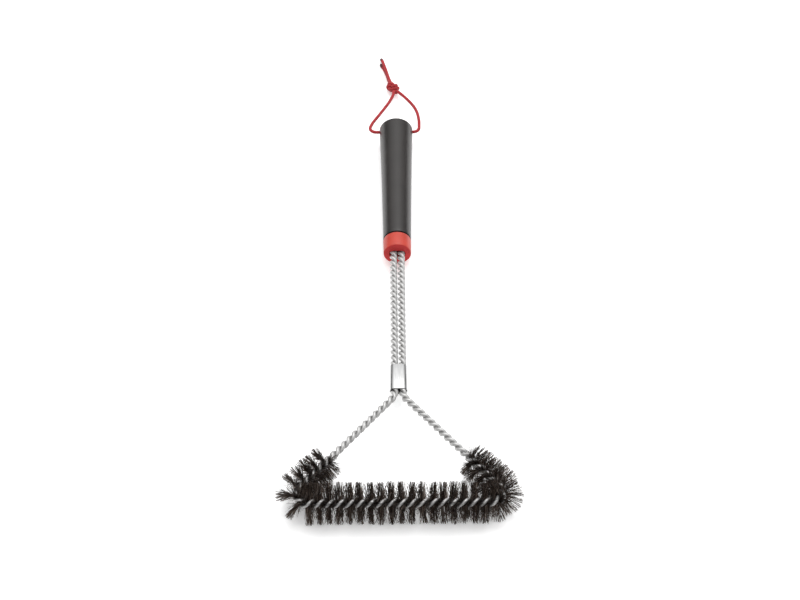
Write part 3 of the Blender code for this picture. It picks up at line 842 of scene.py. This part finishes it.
def tube_vertices(line, radii, sides):
    """Rings of a thin tube round a line, as arrays."""
    points = np.array([tuple(p) for p in line])
    ways = np.gradient(points, axis=0)
    ways /= np.linalg.norm(ways, axis=1)[:, None]
    middle = ways[len(ways) // 2]
    helper = np.eye(3)[np.argmin(np.abs(middle))]
    first = np.cross(ways, helper)
    first /= np.linalg.norm(first, axis=1)[:, None]
    second = np.cross(ways, first)
    angles = np.arange(sides) * math.tau / sides
    spokes = first[:, None] * np.cos(angles)[None, :, None] + second[:, None] * np.sin(angles)[None, :, None]
    return (points[:, None] + spokes * radii[:, None, None]).reshape(-1, 3)


def tube_faces(rings, sides):
    """Quads between rings, and a cap on each end, as vertex indices."""
    faces = []
    for r in range(rings - 1):
        for i in range(sides):
            j = (i + 1) % sides
            faces.append((r * sides + i, r * sides + j, (r + 1) * sides + j, (r + 1) * sides + i))
    faces.append(tuple(range(sides))[::-1])
    faces.append(tuple((rings - 1) * sides + i for i in range(sides)))
    return faces


def make_bristles(node, first_turn, draw, reach_drift, lean_drift, material):
    """All filaments of one turn of the twist, with a random tone for each."""
    shares = np.array(FILAMENT_STATIONS)
    radii = FILAMENT_RADIUS * (1.0 - FILAMENT_TAPER * np.abs(shares))
    pattern = tube_faces(len(shares), FILAMENT_SIDES)
    vertices = []
    faces = []
    tones = []
    for k in range(FILAMENTS_PER_TURN):
        turn = first_turn + (k + draw.random()) / FILAMENTS_PER_TURN
        line = filament_line(turn, draw, reach_drift, lean_drift)
        base = len(vertices) * len(shares) * FILAMENT_SIDES
        vertices.append(tube_vertices(line, radii, FILAMENT_SIDES))
        faces += [tuple(base + i for i in face) for face in pattern]
        tone = draw.random() ** 1.5
        tones += [tone] * (len(shares) * FILAMENT_SIDES)
    mesh = bpy.data.meshes.new(node)
    mesh.from_pydata(np.concatenate(vertices).tolist(), [], faces)
    mesh.attributes.new("tone", "FLOAT", "POINT").data.foreach_set("value", np.array(tones, np.float32))
    mesh.shade_smooth()
    mesh.set_sharp_from_angle(angle=math.radians(80.0))
    obj = link(node.replace("bristles", "filaments"), mesh, material)
    place(obj, "brush", "bristle", node)


def bristle_nodes():
    """The frame's bristle nodes in their order along the rope, from the left leg's end."""
    bar_half = PATH.pieces[BAR_PIECE][0] / 2
    arc_length = PATH.pieces[RIGHT_ARC_PIECE][0]
    counts = {}
    names = []
    for turn in range(-BRUSH_TURNS // 2, BRUSH_TURNS // 2):
        middle = place_of(turn + 0.5)
        side = "left" if middle < 0 else "right"
        zone = "bar"
        if abs(middle) >= bar_half:
            zone = f"{side}_corner" if abs(middle) < bar_half + arc_length else f"{side}_leg"
        counts[zone] = counts.get(zone, 0) + 1
        names.append(f"{zone}_bristles_{counts[zone]}")
    return names


# ---------------------------------------------------------------- cord


def smooth_line(points, spacing):
    """Evenly spaced points on a Catmull-Rom curve through the given points, as an array."""
    p = np.array([tuple(q) for q in points], float)
    p = np.vstack([2 * p[0] - p[1], p, 2 * p[-1] - p[-2]])
    fine = [p[1]]
    for a, b, c, d in zip(p, p[1:], p[2:], p[3:]):
        for t in (np.arange(16) + 1) / 16:
            straight = 2 * b + (c - a) * t
            bend = (2 * a - 5 * b + 4 * c - d) * t**2 + (3 * b - a - 3 * c + d) * t**3
            fine.append((straight + bend) / 2)
    return even(np.array(fine), spacing)


def even(line, spacing):
    """The same line with evenly spaced points."""
    run = np.concatenate([[0.0], np.cumsum(np.linalg.norm(np.diff(line, axis=0), axis=1))])
    count = max(2, round(run[-1] / spacing) + 1)
    wanted = np.linspace(0.0, run[-1], count)
    return np.stack([np.interp(wanted, run, line[:, i]) for i in range(3)], axis=1)


def loose_overhand(scale):
    """A loose overhand knot as an open trefoil: along its pull, across it and up."""
    t = np.linspace(math.tau - 0.30, 0.30, 70)
    r = 2.0 + np.cos(3 * t)
    return np.stack([r * np.sin(2 * t), 2.5 - r * np.cos(2 * t), 0.8 * np.sin(3 * t)], axis=1) * scale


def pull_segments(points, first, last, rest, firmness):
    """Moves neighbouring points towards their rest distance, even and odd pairs in turn, and
    eases sharp turns."""
    for start in (first, first + 1):
        i = np.arange(start, last, 2)
        gap = points[i + 1] - points[i]
        length = np.linalg.norm(gap, axis=1)[:, None]
        change = gap / length * (length - rest) * firmness
        points[i] += change
        points[i + 1] -= change
    inner = np.arange(first + 1, last)
    points[inner] += KNOT_STIFFNESS * ((points[inner - 1] + points[inner + 1]) / 2 - points[inner])


def push_apart(points, may_touch, diameter):
    """Moves points of different turns apart until they lie a cord's diameter from each other."""
    away = points[:, None] - points[None]
    distance = np.linalg.norm(away, axis=2) + 1e-12
    hits = may_touch & (distance < diameter)
    push = away / distance[..., None] * ((diameter - distance) * hits)[..., None] / 2
    points += push.sum(axis=1) / np.maximum(hits.sum(axis=1), 1)[:, None]


def tie_knot(starts, ends, centre):
    """Two cords side by side through one overhand knot, pulled tight between held ends.

    starts and ends hold, for each cord, the two points that it passes on that side of the knot.
    """
    count = KNOT_POINTS
    diameter = 2 * CORD_RADIUS * KNOT_SQUEEZE
    pull = sum((e[0] for e in ends), Vector()) - sum((s[1] for s in starts), Vector())
    pull = Vector((pull.x, pull.y, 0.0)).normalized()
    pull.rotate(Matrix.Rotation(KNOT_TURN, 3, "Z"))
    side = Vector((-pull.y, pull.x, 0.0))
    core = loose_overhand(LOOSE_KNOT_SIZE * diameter)
    ways = np.gradient(core, axis=0)
    sideways = np.stack([-ways[:, 1], ways[:, 0], 0 * ways[:, 0]], axis=1)
    sideways /= np.linalg.norm(sideways, axis=1)[:, None]
    axes = np.array([tuple(pull), tuple(side), tuple(UP)])
    middle = np.array(centre)
    loose = np.array(pull) * LOOSE_END_GAP * diameter
    held = [(np.array(starts[k]), np.array(ends[k])) for k in (0, 1)]
    strands = []
    for k in (0, 1):
        loop = middle + (core + sideways * ((0.5 - k) * LOOSE_CORD_GAP * diameter)) @ axes
        lead_in = np.linspace(held[k][0][1] - loose, loop[0], 8)[:-1]
        lead_out = np.linspace(loop[-1], held[k][1][0] + loose, 8)[1:]
        line = np.concatenate([lead_in, loop, lead_out])
        total = np.linalg.norm(np.diff(line, axis=0), axis=1).sum()
        strands.append(even(line, total / (count - 1)))
    points = np.concatenate(strands)
    lengths = [np.linalg.norm(np.diff(s, axis=0), axis=1).sum() for s in strands]
    strand = np.repeat([0, 1], count)
    order = np.tile(np.arange(count), 2)
    near = int(SAME_TURN * diameter / (KNOT_STRAND_LENGTH / (count - 1)))
    may_touch = (strand[:, None] != strand[None]) | (abs(order[:, None] - order[None]) > near)
    window = np.tile(np.sin(np.linspace(0.0, math.pi, count)), 2)[:, None]
    for i in range(KNOT_ROUNDS):
        share = min(1.0, i / (KNOT_CLOSING_SHARE * KNOT_ROUNDS))
        firmness = KNOT_PULL[0] if share < 1.0 else KNOT_PULL[1]
        for k in (0, 1):
            first = k * count
            last = first + count - 1
            length = lengths[k] + (KNOT_STRAND_LENGTH - lengths[k]) * share
            rest = length / (count - 1)
            pull_segments(points, first, last, rest, firmness)
            for end, inner, (a, b), away in (
                (first, first + 1, held[k][0][::-1], -loose),
                (last, last - 1, held[k][1], loose),
            ):
                points[end] = a + away * (1.0 - share)
                way = (a - b) / np.linalg.norm(a - b)
                points[inner] += 0.5 * (points[end] + way * rest - points[inner])
        push_apart(points, may_touch, diameter)
        points += window * (middle - points.mean(axis=0)) * KNOT_CENTRING
        points[:, 2] = np.maximum(points[:, 2], CORD_RADIUS)
    return points[:count], points[count:]


def soften(line, passes):
    """The same line with its tightest turns eased; its ends stay in place."""
    line = line.copy()
    for _ in range(passes):
        line[1:-1] += 0.25 * (line[:-2] - 2 * line[1:-1] + line[2:])
    return line


def braided_tube(name, line, material):
    """A braided cord along a line: its plaits stand out in a staggered pattern, and its material paints the
    grooves between them darker as shade.
    """
    line = even(line, CORD_STEP)
    ways = np.gradient(line, axis=0)
    ways /= np.linalg.norm(ways, axis=1)[:, None]
    first = np.cross(ways[0], (0.0, 0.0, 1.0))
    first /= np.linalg.norm(first)
    angles = np.arange(CORD_SIDES) * math.tau / CORD_SIDES
    vertices = []
    weave = []
    for i, (point, way) in enumerate(zip(line, ways)):
        first = first - way * first.dot(way)
        first /= np.linalg.norm(first)
        second = np.cross(way, first)
        along = i * CORD_STEP
        lengthwise = math.tau * along / PLAIT_LENGTH
        right_handed = np.cos(PLAITS * angles + lengthwise)
        left_handed = np.cos(PLAITS * angles - lengthwise)
        plait = 0.5 + 0.5 * np.maximum(right_handed, left_handed)
        radius = CORD_RADIUS * (PLAIT_RADII[0] + (PLAIT_RADII[1] - PLAIT_RADII[0]) * plait)
        spokes = first * np.cos(angles)[:, None] + second * np.sin(angles)[:, None]
        vertices.append(point + spokes * radius[:, None])
        weave.append(plait)
    mesh = bpy.data.meshes.new(name)
    mesh.from_pydata(np.concatenate(vertices).tolist(), [], tube_faces(len(line), CORD_SIDES))
    values = np.concatenate(weave).astype(np.float32)
    mesh.attributes.new("weave", "FLOAT", "POINT").data.foreach_set("value", values)
    mesh.shade_smooth()
    return link(name, mesh, material)


def make_tip(name, line, draw, material, replaced):
    """The melted end of a tail: a short sleeve and a small uneven bead."""
    end = Vector(line[-1])
    way = (end - Vector(line[-8])).normalized()
    profile = [
        (0.0, -TIP_SLEEVE),
        (0.98 * CORD_RADIUS, 0.0001 - TIP_SLEEVE),
        (TIP_RADIUS, 0.0005 - TIP_SLEEVE),
    ]
    steps = 8
    for i in range(steps + 1):
        a = math.pi / 2 * i / steps
        profile.append((TIP_RADIUS * math.cos(a), TIP_BEAD_START + TIP_BEAD_LENGTH * math.sin(a)))
    profile[-1] = (0.0, profile[-1][1])
    bm = turned_bmesh(profile, CORD_SIDES)
    for vert in bm.verts:
        vert.co *= 1.0 + draw.uniform(-TIP_UNEVENNESS, TIP_UNEVENNESS)
    turn = Vector((0.0, 1.0, 0.0)).rotation_difference(way).to_matrix()
    bmesh.ops.rotate(bm, verts=bm.verts, matrix=turn)
    shift(bm, end)
    for vert in bm.verts:
        vert.co.z = max(vert.co.z, 0.0)
    tip = finish_mesh(name, bm, material, 80.0)
    place(tip, "lanyard", "cord_tip", replaced)
    return tip


def world_points(route):
    return [CORD_HOLE + Vector(p) for p in route]


def make_lanyard(material, melted):
    """The cord: a hidden stretch through the grip, and two strands that share the knot."""
    draw = random.Random(TIP_SEED)
    left = world_points(LEFT_ROUTE)
    right = world_points(RIGHT_ROUTE)
    long_tail = world_points(LONG_TAIL_ROUTE)
    short_tail = world_points(SHORT_TAIL_ROUTE)
    centre = CORD_HOLE + Vector(KNOT_CENTRE)
    knots = tie_knot([left[-2:], right[-2:]], [long_tail[:2], short_tail[:2]], centre)
    inside = braided_tube("cord_through_grip", smooth_line([left[0], CORD_HOLE, right[0]], 0.001), material)
    place(inside, "lanyard", "cord", "cord_in_handle")
    parts = (
        ("cord_left_strand", left, knots[0], long_tail, "cord_left", "cord_tail_long", "cord_tip_long"),
        ("cord_right_strand", right, knots[1], short_tail, "cord_right", "cord_tail_short", "cord_tip_short"),
    )
    for name, loop, knot, tail, loop_node, tail_node, tip_node in parts:
        knot_points = [Vector(p) for p in knot[::KNOT_KEEP_EVERY]]
        line = soften(smooth_line([*loop[:-1], *knot_points, *tail[1:]], LINE_STEP), SOFTEN_PASSES)
        cord = braided_tube(name, line, material)
        place(cord, "lanyard", "cord", loop_node, tail_node, "cord_knot")
        tip = make_tip(name.replace("strand", "tip"), line, draw, melted, tip_node)


# ---------------------------------------------------------------- stage


def make_floor(material):
    bm = bmesh.new()
    bmesh.ops.create_grid(bm, x_segments=8, y_segments=8, size=FLOOR_HALF_SIZE)
    floor = finish_mesh("floor", bm, material)
    floor.location.z = -FLOOR_DROP


def make_world():
    """A dome that is bright overhead and dim towards the horizon, most of all on the camera's side."""
    world = bpy.data.worlds.new("studio")
    world.use_nodes = True
    tree = world.node_tree
    background = tree.nodes["Background"]
    coords = tree.nodes.new("ShaderNodeTexCoord")
    tilt = tree.nodes.new("ShaderNodeVectorMath")
    tilt.operation = "DOT_PRODUCT"
    tilt.inputs[1].default_value = DOME_AXIS
    ramp = tree.nodes.new("ShaderNodeValToRGB")
    tree.links.new(coords.outputs["Generated"], tilt.inputs[0])
    tree.links.new(tilt.outputs["Value"], ramp.inputs["Fac"])
    tree.links.new(ramp.outputs["Color"], background.inputs["Color"])
    elements = ramp.color_ramp.elements
    elements[0].position = DOME_DIM_UP_TO
    elements[0].color = (DOME_DIM_SHARE, DOME_DIM_SHARE, DOME_DIM_SHARE, 1.0)
    elements[1].position = DOME_FULL_FROM
    elements[1].color = (1.0, 1.0, 1.0, 1.0)
    background.inputs["Strength"].default_value = DOME_STRENGTH
    bpy.context.scene.world = world


def make_key_light():
    """A large soft disk overhead that faces the middle of the floor."""
    light = bpy.data.lights.new("key", "AREA")
    light.shape = "DISK"
    light.size = KEY_SIZE
    light.energy = KEY_WATTS
    obj = bpy.data.objects.new("key", light)
    obj.location = KEY_PLACE
    obj.rotation_mode = "QUATERNION"
    obj.rotation_quaternion = (-Vector(KEY_PLACE)).to_track_quat("-Z", "Y")
    bpy.context.scene.collection.objects.link(obj)


def make_camera():
    data = bpy.data.cameras.new("camera")
    data.sensor_width = 36.0
    data.lens = CAMERA_LENS_MM
    camera = bpy.data.objects.new("camera", data)
    camera.location = (0.0, BAR_Y - CAMERA_BACK, HEAD_Z + CAMERA_RISE)
    look = Matrix.Rotation(CAMERA_YAW, 4, "Z") @ Matrix.Rotation(math.pi / 2 - CAMERA_PITCH, 4, "X")
    camera.rotation_euler = (look @ Matrix.Rotation(CAMERA_ROLL, 4, "Z")).to_euler()
    bpy.context.scene.collection.objects.link(camera)
    bpy.context.scene.camera = camera


def main():
    make_camera()
    steel = ferrule_material()
    wire = wire_material()
    filament = bristle_material()
    make_grip(grip_material())
    make_collar(collar_material())
    make_band("neck_band", FERRULE_LOW, FERRULE_HIGH, steel, "neck_ferrule")
    make_band("tail_band", CRIMP_LOW, CRIMP_HIGH, steel, "tail_crimp")
    frame["nodes"]["anchor_core"].material_slots[0].material = core_material()
    make_strand("wire_strand_a", 1, wire, "wire_a")
    make_strand("wire_strand_b", -1, wire, "wire_b")
    draw = random.Random(FILAMENT_SEED)
    reach_drift = Drift(draw, REACH_DRIFT)
    lean_drift = Drift(draw, LEAN_DRIFT)
    for i, node in enumerate(bristle_nodes()):
        make_bristles(node, i - BRUSH_TURNS // 2, draw, reach_drift, lean_drift, filament)
    make_lanyard(cord_material(), tip_material())
    make_floor(floor_material())
    make_world()
    make_key_light()
    bpy.context.scene.view_settings.view_transform = "Standard"
    bpy.context.scene.view_settings.look = "None"


main()
